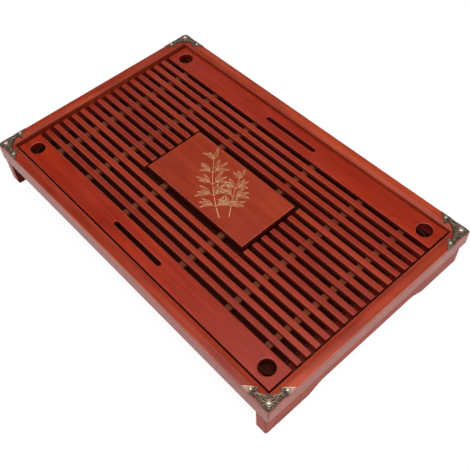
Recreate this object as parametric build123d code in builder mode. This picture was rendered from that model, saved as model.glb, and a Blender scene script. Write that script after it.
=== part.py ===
from build123d import *
import os

# Gongfu tea tray: a mitred wooden frame on two foot rails, a slatted lid that lifts off,
# and a black water tray with a drain under it.
# Millimetres, +Z up, +X along the tray, origin on the floor under the tray's middle.

# Whole tray
tray_length = 430.0
tray_width = 272.0
frame_top = 54.0

# Frame rails
rail_width = 13.0
rail_height = 22.0
rail_corner_radius = 2.0
rail_top_round = 1.5
rail_bottom_bevel = 1.0
end_bevel_height = 4.5
rail_lip_width = 5.0
rail_lip_drop = 0.8

# Foot rails under the two short sides
foot_thickness = 12.0
foot_side_inset = 4.0
foot_end_inset = 0.3
foot_round = 3.0
foot_edge_round = 1.2
foot_arch_height = 8.0
foot_arch_top = 128.0
foot_arch_ramp = 16.0
foot_arch_round = 12.0

# Ledge strips that carry the lid
ledge_width = 12.0
ledge_edge_round = 0.6

# Bottom panel
panel_thickness = 3.0
panel_inset = 2.0
panel_end_gap = 0.3

# Lid
lid_recess = 4.0
lid_end_clearance = 3.0
lid_side_clearance = 2.0
lid_shift = 1.0
lid_seat_gap = 0.25
lid_thickness = 5.0
lid_board_width = 28.0
lid_edge_round = 0.8
finger_hole_radius = 8.5
finger_hole_end_margin = 17.0
finger_slot_length = 74.0
finger_slot_width = 5.5
finger_slot_shift = 2.5

# Slats and battens of the lid
slat_width = 6.0
slat_gap = 6.0
slat_edge_round = 0.7
batten_width = 6.5
batten_height = 5.0
batten_edge_round = 0.6
batten_lap = 13.0
batten_end_margin = 33.5

# Plaque in the middle of the lid
plaque_length = 148.0
plaque_width = 73.0
plaque_rise = 2.0
plaque_gap = 4.0
plaque_side_clearance = 1.0
plaque_batten_inset = 28.8
plaque_edge_round = 0.8

# Bronze corner plates
plate_arm = 36.0
plate_thickness = 1.2
plate_tip_round = 0.4
plate_edge_round = 0.25

# Tacks that hold the corner plates
tack_head_radius = 1.7
tack_head_height = 1.2
tack_shank_radius = 0.7
tack_length = 7.0
boss_tack_scale = 1.5

# Water tray
tray_side_clearance = 1.0
tray_seat_gap = 0.25
tray_wall = 2.0
tray_floor = 2.0
tray_rim_drop = 1.0
tray_corner_radius = 10.0
tray_inner_round = 1.2

# Drain under the water tray
drain_end_margin = 39.0
drain_tube_radius = 6.0
drain_thread_radius = 7.0
drain_bore_radius = 4.0
drain_flange_radius = 13.0
drain_flange_height = 1.5
drain_floor_clearance = 8.0
drain_barb_rise = 0.9
drain_barb_pitch = 4.0
drain_barbs = 3
drain_washer_radius = 11.0
drain_washer_height = 1.0
drain_nut_radius = 12.0
drain_nut_height = 5.0
drain_hole_clearance = 5.0

# Screws
screw_fit = 0.12
panel_screw_radius = 1.5
panel_screw_head_radius = 3.0
panel_screw_head_height = 1.6
panel_screw_length = 14.0
foot_screw_radius = 2.0
foot_screw_head_radius = 3.8
foot_screw_head_height = 2.4
foot_screw_length = 26.0
foot_screw_pocket = 16.0
foot_screw_offset = 1.0
batten_screw_radius = 1.2
batten_screw_head_radius = 2.4
batten_screw_head_height = 1.3
batten_screw_length = 8.5

# One overrun serves all cuts
overrun = 1.0

# Places worked out from the sizes
frame_bottom = frame_top - rail_height
opening_length = tray_length - 2 * rail_width
opening_width = tray_width - 2 * rail_width
lid_length = opening_length - 2 * lid_end_clearance
lid_width = opening_width - 2 * lid_side_clearance
lid_top = frame_top - lid_recess
lid_bottom = lid_top - lid_thickness
ledge_top = lid_bottom - lid_seat_gap
ledge_height = ledge_top - frame_bottom
ledge_opening_length = opening_length - 2 * ledge_width
ledge_opening_width = opening_width - 2 * ledge_width
panel_bottom = frame_bottom - panel_thickness
foot_outer = tray_length / 2 - foot_side_inset
foot_centre = foot_outer - foot_thickness / 2
foot_screw_row = foot_centre + foot_screw_offset
foot_length = tray_width - 2 * foot_end_inset
board_centre = lid_width / 2 - lid_board_width / 2
board_inner = lid_width / 2 - lid_board_width
slat_field = 2 * board_inner
slat_rows = round((slat_field - slat_gap) / (slat_width + slat_gap))
slat_pitch = (slat_field + slat_width) / (slat_rows + 1)
water_length = ledge_opening_length - 2 * tray_side_clearance
water_width = ledge_opening_width - 2 * tray_side_clearance
drain_distance = water_length / 2 - drain_end_margin
water_bottom = frame_bottom + tray_seat_gap
water_top = ledge_top - tray_rim_drop
batten_length = 2 * (board_inner + batten_lap)
frame_sides = ("front", "back", "left", "right")
corner_names = ("front_left", "front_right", "back_right", "back_left")
corner_signs = ((-1, -1), (1, -1), (1, 1), (-1, 1))
corner_turns = ((1, 0), (0, 1), (-1, 0), (0, -1))

# Screw places: shares of half the side that they follow
panel_screw_shares = (-0.84, -0.42, 0.0, 0.42, 0.84)
foot_screw_shares = (-0.8, 0.8)
panel_screw_row = tray_width / 2 - rail_width / 2
batten_screw_row = board_inner + batten_lap / 2

# The middle batten stands at this share of the way from the plaque's batten to the outer one
middle_batten_share = 0.554

# Corner plate, one half of its outline and its tacks, as shares of the arm from the corner
plate_half_shares = (
    (0.005, 0.005),
    (0.236, 0.005),
    (0.3, 0.028),
    (0.354, 0.018),
    (0.406, 0.033),
    (0.49, 0.042),
    (0.586, 0.028),
    (0.652, 0.005),
    (1.0, 0.005),
    (0.652, 0.316),
    (0.619, 0.26),
    (0.628, 0.189),
)
plate_crescent_share = 0.345
plate_tack_share = (0.737, 0.123)
plate_boss_share = (0.189, 0.189)

# A tack's dome takes this share of its head's height
dome_share = 0.95

os.makedirs("parts", exist_ok=True)
nodes = {}


def finish(name, builder):
    """Label a piece and write it to its own file."""
    builder.part.label = name
    export_step(builder.part, f"parts/{name}.step")
    nodes[name] = builder.part


def level(height):
    """The horizontal plane at a height above the floor."""
    return Plane.XY.offset(height)


# Frame: one moulded ring, cut at its mitres into four rails.
# A bevel runs along the two short sides, down to the feet.
half_length = tray_length / 2 + overrun
half_width = tray_width / 2 + overrun
with BuildPart() as frame_ring:
    with BuildSketch(level(frame_bottom)):
        RectangleRounded(tray_length, tray_width, rail_corner_radius)
        Rectangle(opening_length, opening_width, mode=Mode.SUBTRACT)
    extrude(amount=rail_height)
    with BuildSketch(level(frame_top - rail_lip_drop)):
        Rectangle(opening_length, opening_width)
    with BuildSketch(level(frame_top)):
        Rectangle(opening_length + 2 * rail_lip_width, opening_width + 2 * rail_lip_width)
    loft(mode=Mode.SUBTRACT)
    top_outline = frame_ring.faces().sort_by(Axis.Z)[-1].outer_wire().edges()
    fillet(top_outline, radius=rail_top_round)
    bottom_outline = frame_ring.faces().sort_by(Axis.Z)[0].outer_wire().edges()
    chamfer(bottom_outline, length=rail_bottom_bevel)
    for side in (-1, 1):
        with BuildSketch(Plane.XZ):
            with BuildLine():
                Polyline(
                    (side * foot_outer, frame_bottom),
                    (side * tray_length / 2, frame_bottom + end_bevel_height),
                    (side * half_length, frame_bottom + end_bevel_height),
                    (side * half_length, frame_bottom - overrun),
                    (side * foot_outer, frame_bottom - overrun),
                    close=True,
                )
            make_face()
        extrude(amount=half_width, both=True, mode=Mode.SUBTRACT)

mitre_reach = half_length - half_width
wedge_corners = {
    "front": ((-half_length, -half_width), (half_length, -half_width), (mitre_reach, 0), (-mitre_reach, 0)),
    "back": ((-half_length, half_width), (half_length, half_width), (mitre_reach, 0), (-mitre_reach, 0)),
    "left": ((-half_length, -half_width), (-half_length, half_width), (-mitre_reach, 0)),
    "right": ((half_length, -half_width), (half_length, half_width), (mitre_reach, 0)),
}

panel_screw_places = []
for share in panel_screw_shares:
    for side in (-1, 1):
        panel_screw_places.append((share * opening_length / 2, side * panel_screw_row))

foot_screw_places = []
for side in (-1, 1):
    for share in foot_screw_shares:
        foot_screw_places.append((side * foot_screw_row, share * foot_length / 2))

# Tack places and the plane of each corner plate, turned so that its arms run along the rails
plate_planes = []
for signs, turn in zip(corner_signs, corner_turns):
    corner = (signs[0] * tray_length / 2, signs[1] * tray_width / 2, frame_top)
    plate_planes.append(Plane(origin=corner, x_dir=(turn[0], turn[1], 0), z_dir=(0, 0, 1)))
tack_points = (
    (plate_tack_share[0] * plate_arm, plate_tack_share[1] * plate_arm),
    (plate_tack_share[1] * plate_arm, plate_tack_share[0] * plate_arm),
)
boss_point = (plate_boss_share[0] * plate_arm, plate_boss_share[1] * plate_arm)

for side in frame_sides:
    with BuildPart() as rail:
        with BuildSketch(level(frame_bottom - overrun)):
            with BuildLine():
                Polyline(*wedge_corners[side], close=True)
            make_face()
        extrude(amount=rail_height + 2 * overrun)
        add(frame_ring.part, mode=Mode.INTERSECT)
        with BuildSketch(level(frame_bottom)):
            with Locations(*panel_screw_places):
                Circle(panel_screw_radius + screw_fit)
        extrude(amount=panel_screw_length - panel_thickness + screw_fit, mode=Mode.SUBTRACT)
        with BuildSketch(level(frame_bottom)):
            with Locations(*foot_screw_places):
                Circle(foot_screw_radius + screw_fit)
        foot_screw_rise = foot_screw_pocket + foot_screw_length - frame_bottom
        extrude(amount=foot_screw_rise + screw_fit, mode=Mode.SUBTRACT)
        for plate_plane in plate_planes:
            with BuildSketch(plate_plane):
                with Locations(*tack_points):
                    Circle(tack_shank_radius + screw_fit)
                with Locations(boss_point):
                    Circle(tack_shank_radius + screw_fit)
            extrude(amount=plate_thickness - tack_length - screw_fit, mode=Mode.SUBTRACT)
    finish(f"{side}_rail", rail)

# Ledge strips on the inner faces of the rails; the long ones run from end to end
for name, side in (("front", -1), ("back", 1)):
    with BuildPart() as ledge:
        ledge_row = side * (opening_width - ledge_width) / 2
        with BuildSketch(level(frame_bottom)):
            with Locations((0, ledge_row)):
                Rectangle(opening_length, ledge_width)
        extrude(amount=ledge_height)
        inner_edge = ledge.edges().filter_by(Axis.X).group_by(Axis.Z)[-1].sort_by(Axis.Y)[0 if side > 0 else -1]
        fillet(inner_edge, radius=ledge_edge_round)
    finish(f"{name}_ledge", ledge)

for name, side in (("left", -1), ("right", 1)):
    with BuildPart() as ledge:
        ledge_row = side * (opening_length - ledge_width) / 2
        with BuildSketch(level(frame_bottom)):
            with Locations((ledge_row, 0)):
                Rectangle(ledge_width, ledge_opening_width)
        extrude(amount=ledge_height)
        inner_edge = ledge.edges().filter_by(Axis.Y).group_by(Axis.Z)[-1].sort_by(Axis.X)[0 if side > 0 else -1]
        fillet(inner_edge, radius=ledge_edge_round)
        with BuildSketch(level(frame_bottom)):
            with Locations(*foot_screw_places):
                Circle(foot_screw_radius + screw_fit)
        extrude(amount=foot_screw_rise + screw_fit, mode=Mode.SUBTRACT)
    finish(f"{name}_ledge", ledge)

# Foot rails with a low arch between two rounded feet
for name, side in (("left", -1), ("right", 1)):
    with BuildPart() as foot_rail:
        with BuildSketch(Plane.YZ.offset(side * foot_centre)) as foot_outline:
            Rectangle(foot_length, frame_bottom, align=(Align.CENTER, Align.MIN))
            with BuildLine():
                arch_top = foot_arch_top / 2
                arch_foot = arch_top + foot_arch_ramp
                Polyline(
                    (-arch_foot, 0),
                    (-arch_top, foot_arch_height),
                    (arch_top, foot_arch_height),
                    (arch_foot, 0),
                    close=True,
                )
            make_face(mode=Mode.SUBTRACT)
            arch_corners = foot_outline.vertices().filter_by_position(
                Axis.Y, foot_arch_height, foot_arch_height
            )
            fillet(arch_corners, radius=foot_arch_round)
            sole_corners = foot_outline.vertices().group_by(Axis.Y)[0]
            fillet(sole_corners, radius=foot_round)
        extrude(amount=foot_thickness / 2, both=True)
        outer_face = foot_rail.faces().sort_by(Axis.X)[0 if side < 0 else -1]
        chamfer(outer_face.edges().sort_by(Axis.Z)[:-1], length=foot_edge_round)
        with BuildSketch(Plane.XY):
            with Locations(*foot_screw_places):
                Circle(foot_screw_head_radius + screw_fit)
        extrude(amount=foot_screw_pocket, mode=Mode.SUBTRACT)
        with BuildSketch(Plane.XY):
            with Locations(*foot_screw_places):
                Circle(foot_screw_radius + screw_fit)
        extrude(amount=frame_bottom, mode=Mode.SUBTRACT)
    finish(f"{name}_foot_rail", foot_rail)

# Bottom panel between the foot rails, screwed under the frame
panel_length = 2 * (foot_outer - foot_thickness - panel_end_gap)
drain_hole_radius = drain_nut_radius + drain_hole_clearance
with BuildPart() as bottom_panel:
    with BuildSketch(level(panel_bottom)):
        Rectangle(panel_length, tray_width - 2 * panel_inset)
        with Locations((drain_distance, 0)):
            Circle(drain_hole_radius, mode=Mode.SUBTRACT)
        with Locations(*panel_screw_places):
            Circle(panel_screw_radius + screw_fit, mode=Mode.SUBTRACT)
    extrude(amount=panel_thickness)
    for place in panel_screw_places:
        with Locations((place[0], place[1], panel_bottom)):
            Cone(
                panel_screw_head_radius + screw_fit,
                panel_screw_radius + screw_fit,
                panel_screw_head_height,
                align=(Align.CENTER, Align.CENTER, Align.MIN),
                mode=Mode.SUBTRACT,
            )
finish("bottom_panel", bottom_panel)

# Battens under the lid; they run across the tray inside the ledge opening
batten_top = lid_bottom
batten_bottom = batten_top - batten_height
inner_batten = plaque_length / 2 - plaque_batten_inset
outer_batten = lid_length / 2 - batten_end_margin
middle_batten = inner_batten + middle_batten_share * (outer_batten - inner_batten)
batten_rows = []
for place in (inner_batten, middle_batten, outer_batten):
    batten_rows.extend((-place, place))
batten_rows.sort()
batten_screw_places = []
for row in batten_rows:
    for side in (-1, 1):
        batten_screw_places.append((row, side * batten_screw_row + lid_shift))

for number, row in enumerate(batten_rows, start=1):
    with BuildPart() as batten:
        with BuildSketch(level(batten_bottom)):
            with Locations((row, lid_shift)):
                Rectangle(batten_width, batten_length)
        extrude(amount=batten_height)
        fillet(batten.edges().filter_by(Axis.Y).group_by(Axis.Z)[0], radius=batten_edge_round)
        for side in (-1, 1):
            with Locations((row, side * batten_screw_row + lid_shift, batten_bottom)):
                Cone(
                    batten_screw_head_radius + screw_fit,
                    batten_screw_radius + screw_fit,
                    batten_screw_head_height,
                    align=(Align.CENTER, Align.CENTER, Align.MIN),
                    mode=Mode.SUBTRACT,
                )
                Cylinder(
                    batten_screw_radius + screw_fit,
                    batten_height,
                    align=(Align.CENTER, Align.CENTER, Align.MIN),
                    mode=Mode.SUBTRACT,
                )
    finish(f"batten_{number}", batten)

# Wide lid boards along both long sides, each with two finger holes and a finger slot
finger_hole_place = lid_length / 2 - finger_hole_end_margin
for name, side in (("front", -1), ("back", 1)):
    board_row = side * board_centre + lid_shift
    with BuildPart() as lid_board:
        with BuildSketch(level(lid_bottom)):
            with Locations((0, board_row)):
                Rectangle(lid_length, lid_board_width)
            with Locations((-finger_slot_shift, board_row)):
                SlotOverall(finger_slot_length, finger_slot_width, mode=Mode.SUBTRACT)
            with Locations((-finger_hole_place, board_row), (finger_hole_place, board_row)):
                Circle(finger_hole_radius, mode=Mode.SUBTRACT)
        extrude(amount=lid_thickness)
        top_edges = lid_board.edges().group_by(Axis.Z)[-1]
        fillet(top_edges, radius=lid_edge_round)
        with BuildSketch(level(lid_bottom)):
            with Locations(*batten_screw_places):
                Circle(batten_screw_radius + screw_fit)
        extrude(amount=batten_screw_length - batten_height + screw_fit, mode=Mode.SUBTRACT)
    finish(f"{name}_lid_board", lid_board)


def make_slat(name, start, end, row):
    """A slat from one X to another, lying on the battens."""
    with BuildPart() as slat:
        with BuildSketch(level(lid_bottom)):
            with Locations(((start + end) / 2, row)):
                Rectangle(end - start, slat_width)
        extrude(amount=lid_thickness)
        fillet(slat.edges().group_by(Axis.Z)[-1], radius=slat_edge_round)
    finish(name, slat)


# Slats: the rows that meet the plaque are cut in two; the lid lies a little behind the middle
slat_end = lid_length / 2
stub_end = plaque_length / 2 + plaque_gap
for index in range(slat_rows):
    row = (index - (slat_rows - 1) / 2) * slat_pitch
    if abs(row) < plaque_width / 2 + slat_width / 2 + plaque_side_clearance:
        make_slat(f"slat_{index + 1}_left", -slat_end, -stub_end, row + lid_shift)
        make_slat(f"slat_{index + 1}_right", stub_end, slat_end, row + lid_shift)
    else:
        make_slat(f"slat_{index + 1}", -slat_end, slat_end, row + lid_shift)

# Plaque: a plain board that stands a little above the slats
with BuildPart() as plaque:
    with BuildSketch(level(lid_bottom)):
        with Locations((0, lid_shift)):
            Rectangle(plaque_length, plaque_width)
    extrude(amount=lid_thickness + plaque_rise)
    fillet(plaque.edges().group_by(Axis.Z)[-1], radius=plaque_edge_round)
finish("plaque", plaque)

# Bronze corner plates with a scalloped outline and a crescent on the inner side
plate_half = [(u * plate_arm, v * plate_arm) for u, v in plate_half_shares]
plate_other_half = [(v, u) for u, v in reversed(plate_half)]
plate_crescent = plate_crescent_share * plate_arm
for name, plate_plane in zip(corner_names, plate_planes):
    with BuildPart() as corner_plate:
        with BuildSketch(plate_plane) as plate_outline:
            with BuildLine():
                Polyline(*plate_half)
                ThreePointArc(plate_half[-1], (plate_crescent, plate_crescent), plate_other_half[0])
                Polyline(*plate_other_half)
            make_face()
            fillet(plate_outline.vertices(), radius=plate_tip_round)
            with Locations(*tack_points):
                Circle(tack_shank_radius + screw_fit, mode=Mode.SUBTRACT)
            with Locations(boss_point):
                Circle(tack_shank_radius + screw_fit, mode=Mode.SUBTRACT)
        extrude(amount=plate_thickness)
        chamfer(corner_plate.faces().sort_by(Axis.Z)[-1].outer_wire().edges(), length=plate_edge_round)
    finish(f"{name}_corner_plate", corner_plate)

# Domed tacks, three through each corner plate
def make_tack(head_radius, head_height):
    """A tack with a domed head, its head's underside on the XY plane."""
    with BuildPart() as tack:
        Cylinder(head_radius, head_height, align=(Align.CENTER, Align.CENTER, Align.MIN))
        fillet(tack.edges().sort_by(Axis.Z)[-1], radius=head_height * dome_share)
        Cylinder(tack_shank_radius, tack_length, align=(Align.CENTER, Align.CENTER, Align.MAX))
    return tack.part


small_tack = make_tack(tack_head_radius, tack_head_height)
boss_tack = make_tack(tack_head_radius * boss_tack_scale, tack_head_height * boss_tack_scale)
with BuildPart() as corner_tacks:
    for plate_plane in plate_planes:
        with Locations(plate_plane.offset(plate_thickness)):
            with Locations(*tack_points):
                add(small_tack)
            with Locations(boss_point):
                add(boss_tack)
finish("corner_tacks", corner_tacks)


def add_screw(place, head_bottom, head_radius, head_height, radius, length):
    """A countersunk screw that points up, head at the bottom."""
    with Locations((place[0], place[1], head_bottom)):
        Cone(head_radius, radius, head_height, align=(Align.CENTER, Align.CENTER, Align.MIN))
        Cylinder(radius, length, align=(Align.CENTER, Align.CENTER, Align.MIN))


with BuildPart() as panel_screws:
    for place in panel_screw_places:
        add_screw(
            place,
            panel_bottom,
            panel_screw_head_radius,
            panel_screw_head_height,
            panel_screw_radius,
            panel_screw_length,
        )
finish("panel_screws", panel_screws)

with BuildPart() as batten_screws:
    for place in batten_screw_places:
        add_screw(
            place,
            batten_bottom,
            batten_screw_head_radius,
            batten_screw_head_height,
            batten_screw_radius,
            batten_screw_length,
        )
finish("batten_screws", batten_screws)

# Foot screws have flat heads that press on the floor of their pockets
with BuildPart() as foot_screws:
    for place in foot_screw_places:
        with Locations((place[0], place[1], foot_screw_pocket)):
            Cylinder(
                foot_screw_head_radius,
                foot_screw_head_height,
                align=(Align.CENTER, Align.CENTER, Align.MAX),
            )
            Cylinder(
                foot_screw_radius,
                foot_screw_length,
                align=(Align.CENTER, Align.CENTER, Align.MIN),
            )
finish("foot_screws", foot_screws)

# Water tray: an open shell with a hole for the drain in its floor
inner_length = water_length - 2 * tray_wall
inner_width = water_width - 2 * tray_wall
with BuildPart() as water_tray:
    with BuildSketch(level(water_bottom)):
        RectangleRounded(water_length, water_width, tray_corner_radius)
    extrude(amount=water_top - water_bottom)
    with BuildSketch(level(water_bottom + tray_floor)):
        RectangleRounded(inner_length, inner_width, tray_corner_radius - tray_wall)
    extrude(amount=water_top - water_bottom, mode=Mode.SUBTRACT)
    floor_edges = water_tray.faces().filter_by(Axis.Z).sort_by(Axis.Z)[1].outer_wire().edges()
    fillet(floor_edges, radius=tray_inner_round)
    with BuildSketch(level(water_bottom)):
        with Locations((drain_distance, 0)):
            Circle(drain_thread_radius + screw_fit)
    extrude(amount=tray_floor, mode=Mode.SUBTRACT)
finish("water_tray", water_tray)

# Drain fitting: a flange on the tray's floor, a threaded neck and a barbed tube below it
flange_bottom = water_bottom + tray_floor
flange_top = flange_bottom + drain_flange_height
washer_bottom = water_bottom - drain_washer_height
nut_bottom = washer_bottom - drain_nut_height
tube_bottom = drain_floor_clearance
bore_side = drain_distance + drain_bore_radius
tube_side = drain_distance + drain_tube_radius
thread_side = drain_distance + drain_thread_radius
flange_side = drain_distance + drain_flange_radius
drain_axis = Axis((drain_distance, 0, 0), (0, 0, 1))
drain_outline = [
    (bore_side, tube_bottom),
    (bore_side, flange_top),
    (flange_side, flange_top),
    (flange_side, flange_bottom),
    (thread_side, flange_bottom),
    (thread_side, nut_bottom),
    (tube_side, nut_bottom),
]
for barb in reversed(range(drain_barbs)):
    barb_foot = tube_bottom + barb * drain_barb_pitch
    drain_outline.append((tube_side, barb_foot + drain_barb_pitch))
    drain_outline.append((tube_side - drain_barb_rise, barb_foot))
with BuildPart() as drain_fitting:
    with BuildSketch(Plane.XZ):
        with BuildLine():
            Polyline(*drain_outline, close=True)
        make_face()
    revolve(axis=drain_axis)
finish("drain_fitting", drain_fitting)

# Washer and nut that clamp the fitting from below
with BuildPart() as drain_washer:
    with BuildSketch(level(washer_bottom)):
        with Locations((drain_distance, 0)):
            Circle(drain_washer_radius)
            Circle(drain_thread_radius + screw_fit, mode=Mode.SUBTRACT)
    extrude(amount=drain_washer_height)
finish("drain_washer", drain_washer)

with BuildPart() as drain_nut:
    with BuildSketch(level(nut_bottom)):
        with Locations((drain_distance, 0)):
            RegularPolygon(drain_nut_radius, side_count=6)
            Circle(drain_thread_radius + screw_fit, mode=Mode.SUBTRACT)
    extrude(amount=drain_nut_height)
finish("drain_nut", drain_nut)

print(len(nodes), "nodes")
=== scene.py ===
import math
import random

import bmesh
import bpy
import numpy as np
from bpy.props import FloatProperty, FloatVectorProperty, IntProperty, PointerProperty
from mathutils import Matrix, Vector
from mathutils.geometry import delaunay_2d_cdt


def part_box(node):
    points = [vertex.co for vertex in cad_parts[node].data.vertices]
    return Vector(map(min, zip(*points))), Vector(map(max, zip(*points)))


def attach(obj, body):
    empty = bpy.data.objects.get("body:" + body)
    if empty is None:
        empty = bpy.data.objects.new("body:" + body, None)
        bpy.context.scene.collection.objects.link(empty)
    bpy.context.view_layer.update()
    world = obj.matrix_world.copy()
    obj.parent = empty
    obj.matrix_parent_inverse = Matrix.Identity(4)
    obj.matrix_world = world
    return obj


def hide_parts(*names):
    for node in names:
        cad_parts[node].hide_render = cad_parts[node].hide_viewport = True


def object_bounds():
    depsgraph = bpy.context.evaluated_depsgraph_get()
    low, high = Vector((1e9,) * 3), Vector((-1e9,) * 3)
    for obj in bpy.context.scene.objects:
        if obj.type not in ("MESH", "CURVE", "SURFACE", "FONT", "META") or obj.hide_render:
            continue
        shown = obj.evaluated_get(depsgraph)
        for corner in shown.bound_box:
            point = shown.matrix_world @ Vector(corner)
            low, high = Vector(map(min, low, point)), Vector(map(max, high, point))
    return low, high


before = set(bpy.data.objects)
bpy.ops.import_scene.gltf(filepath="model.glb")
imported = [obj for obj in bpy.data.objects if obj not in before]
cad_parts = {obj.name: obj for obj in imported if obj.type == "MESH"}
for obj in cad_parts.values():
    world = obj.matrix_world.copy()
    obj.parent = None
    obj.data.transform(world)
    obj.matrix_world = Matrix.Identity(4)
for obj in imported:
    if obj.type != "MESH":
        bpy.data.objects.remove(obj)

bl_info = {
    "name": "Gongfu Tea Tray",
    "version": (1, 0, 0),
    "blender": (4, 5, 0),
    "location": "3D View > Sidebar > Tea Tray",
    "description": "Lacquers the tray's wood, casts its bronze corners and carves its plaque",
    "category": "Object",
}

CAD_BOX = [list(corner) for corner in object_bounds()]
MM = 0.001
FLOAT, VECTOR = "NodeSocketFloat", "NodeSocketVector"


def colour_prop(name, description, default):
    """A colour that a user may change, in linear light."""
    return FloatVectorProperty(
        name=name, description=description, default=default,
        subtype="COLOR", size=3, min=0.0, max=1.0,
    )


def length_prop(name, description, millimetres):
    """A length that a user may change, kept in metres."""
    return FloatProperty(
        name=name, description=description, default=millimetres * MM,
        min=0.0, subtype="DISTANCE", unit="LENGTH", precision=5,
    )


def power_prop(name, description, watts):
    """A lamp's power that a user may change."""
    return FloatProperty(name=name, description=description, default=watts, min=0.0, unit="POWER")


class TrayWood(bpy.types.PropertyGroup):
    """Colours and grain of the tray's wood"""

    rail_colour: colour_prop("Rail colour", "Lacquered wood of the frame", (0.36, 0.033, 0.0125))
    rail_shade: colour_prop("Rail shade", "Darker streaks in the frame's lacquer", (0.165, 0.0085, 0.0040))
    rail_glow: colour_prop("Rail glow", "Bright orange patches in the frame", (0.52, 0.069, 0.0225))
    # Painted reflection: the frame's rounded outer edge is painted pale pink-grey for the sheen it would
    # mirror
    rounding_highlight_colour: colour_prop("Rounded edge", "Pale lacquer on the frame's outer edge", (0.42, 0.19, 0.15))
    # Painted shade: this dark red is laid on upright faces of the lid, on inner faces of the rails and foot
    # rails, and in lines along the foot rails
    painted_shade_colour: colour_prop("Dark sides", "Lacquer on inner sides and in holes", (0.085, 0.0045, 0.0015))
    # Painted shade: the ledges are painted near-black red for the shade in the gap round the lid
    recess_shade_colour: colour_prop("Recess colour", "Lacquer of the ledges under the lid", (0.075, 0.005, 0.003))
    board_colour: colour_prop("Board colour", "Lacquered boards of the lid", (0.315, 0.0175, 0.0055))
    board_shade: colour_prop("Board shade", "Darker streaks in the boards", (0.20, 0.0080, 0.0028))
    board_glow: colour_prop("Board glow", "Bright patches in the boards", (0.44, 0.034, 0.0085))
    slat_colour: colour_prop("Slat colour", "Lacquered slats", (0.30, 0.0205, 0.0095))
    slat_shade: colour_prop("Slat shade", "Darker streaks in the slats", (0.215, 0.0120, 0.0052))
    slat_glow: colour_prop("Slat glow", "Bright patches in the slats", (0.41, 0.042, 0.014))
    plaque_colour: colour_prop("Plaque colour", "Lacquered plaque", (0.33, 0.033, 0.0125))
    plaque_shade: colour_prop("Plaque shade", "Darker streaks in the plaque", (0.25, 0.020, 0.0085))
    plaque_glow: colour_prop("Plaque glow", "Bright patches in the plaque", (0.42, 0.055, 0.0165))
    batten_colour: colour_prop("Batten colour", "Battens under the slats", (0.21, 0.048, 0.020))
    panel_colour: colour_prop("Panel colour", "Plywood of the bottom panel", (0.34, 0.16, 0.075))
    # Real wear on sharp edges, and a painted highlight on the rounded edges of the lid, plaque and foot rails
    wear_and_highlight_colour: colour_prop("Rubbed edges", "Lacquer where its edges are rubbed thin", (0.60, 0.20, 0.13))
    grain_length: length_prop("Grain length", "Length of one streak of grain", 70.0)
    grain_width: length_prop("Grain width", "Width of one streak of grain", 3.0)
    edge_radius: length_prop("Edge radius", "Width of the rubbed edges", 1.0)


class TrayUnderParts(bpy.types.PropertyGroup):
    """Colours of the parts under the lid and under the frame"""

    plastic_colour: colour_prop("Plastic", "Black-brown plastic of the water tray", (0.045, 0.0055, 0.0022))
    rubber_colour: colour_prop("Rubber", "Rubber of the drain's washer", (0.02, 0.02, 0.02))
    steel_colour: colour_prop("Steel", "Zinc-plated steel of the screws", (0.55, 0.56, 0.58))


class TrayBronze(bpy.types.PropertyGroup):
    """Relief and finish of the corner plates and their tacks"""

    bronze_colour: colour_prop("Bronze", "Bare bronze of the raised relief", (0.37, 0.235, 0.162))
    tip_colour: colour_prop("Rubbed tips", "Bright bronze at the ends of the arms", (0.54, 0.35, 0.245))
    patina_colour: colour_prop("Patina", "Dark patina in the hollows", (0.024, 0.015, 0.010))
    verdigris_colour: colour_prop("Verdigris", "Grey-green bloom on the patina", (0.062, 0.044, 0.030))
    tack_colour: colour_prop("Tacks", "Polished heads of the tacks", (0.64, 0.53, 0.40))
    mesh_step: length_prop("Mesh step", "Distance between the relief's points", 0.36)
    relief_height: length_prop("Relief height", "Height of the raised scrolls", 0.75)
    rim_width: length_prop("Rim width", "Width of the bead along the outline", 0.8)
    bend_width: length_prop("Bend width", "Width of the strip bent over the frame's rounded edge", 2.2)
    bend_drop: length_prop("Bend drop", "How far that strip is bent down", 2.0)


class TrayCarving(bpy.types.PropertyGroup):
    """The bamboo sprigs carved in the plaque"""

    line_colour: colour_prop("Line colour", "Tan fill of the carved lines", (0.56, 0.31, 0.14))
    worn_colour: colour_prop("Worn line", "Carved lines where their fill is thin", (0.38, 0.12, 0.05))
    line_height: length_prop("Line height", "How far the filled lines stand proud", 0.08)
    line_width: length_prop("Line width", "Width of the line round a leaf", 0.6)
    stem_width: length_prop("Stem width", "Width of a bamboo stem", 1.5)
    leaf_length: length_prop("Leaf length", "Length of a full leaf", 17.5)
    leaf_width: length_prop("Leaf width", "Width of a full leaf", 3.3)
    seed: IntProperty(name="Seed", description="Chooses the scatter of the leaves", default=11, min=0)


class TrayStage(bpy.types.PropertyGroup):
    """Floor, lamps and camera"""

    floor_colour: colour_prop("Floor", "Plain pale floor", (0.86, 0.86, 0.86))
    floor_size: length_prop("Floor size", "Side of the square floor", 6000.0)
    key_power: power_prop("Key power", "Power of the large soft lamp overhead", 23.0)
    fill_power: power_prop("Fill power", "Power of the low lamps at both sides; the one behind has half", 7.8)
    sky_strength: FloatProperty(
        name="Sky strength", description="Strength of the plain light from all round", default=0.25, min=0.0,
    )
    focal_length: FloatProperty(
        name="Focal length", description="Lens of the camera in millimetres", default=53.63,
        min=1.0, subtype="DISTANCE_CAMERA",
    )


# Node helpers

def feed(tree, fed, inputs):
    """Sets a node's inputs to values, or links them to other nodes' outputs."""
    for socket, value in inputs.items():
        if isinstance(value, bpy.types.NodeSocket):
            tree.links.new(value, fed.inputs[socket])
        else:
            fed.inputs[socket].default_value = value


def node(tree, kind, inputs=None, **settings):
    """Adds a shader node with its settings and inputs."""
    made = tree.nodes.new(kind)
    for name, value in settings.items():
        setattr(made, name, value)
    feed(tree, made, inputs or {})
    return made


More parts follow.
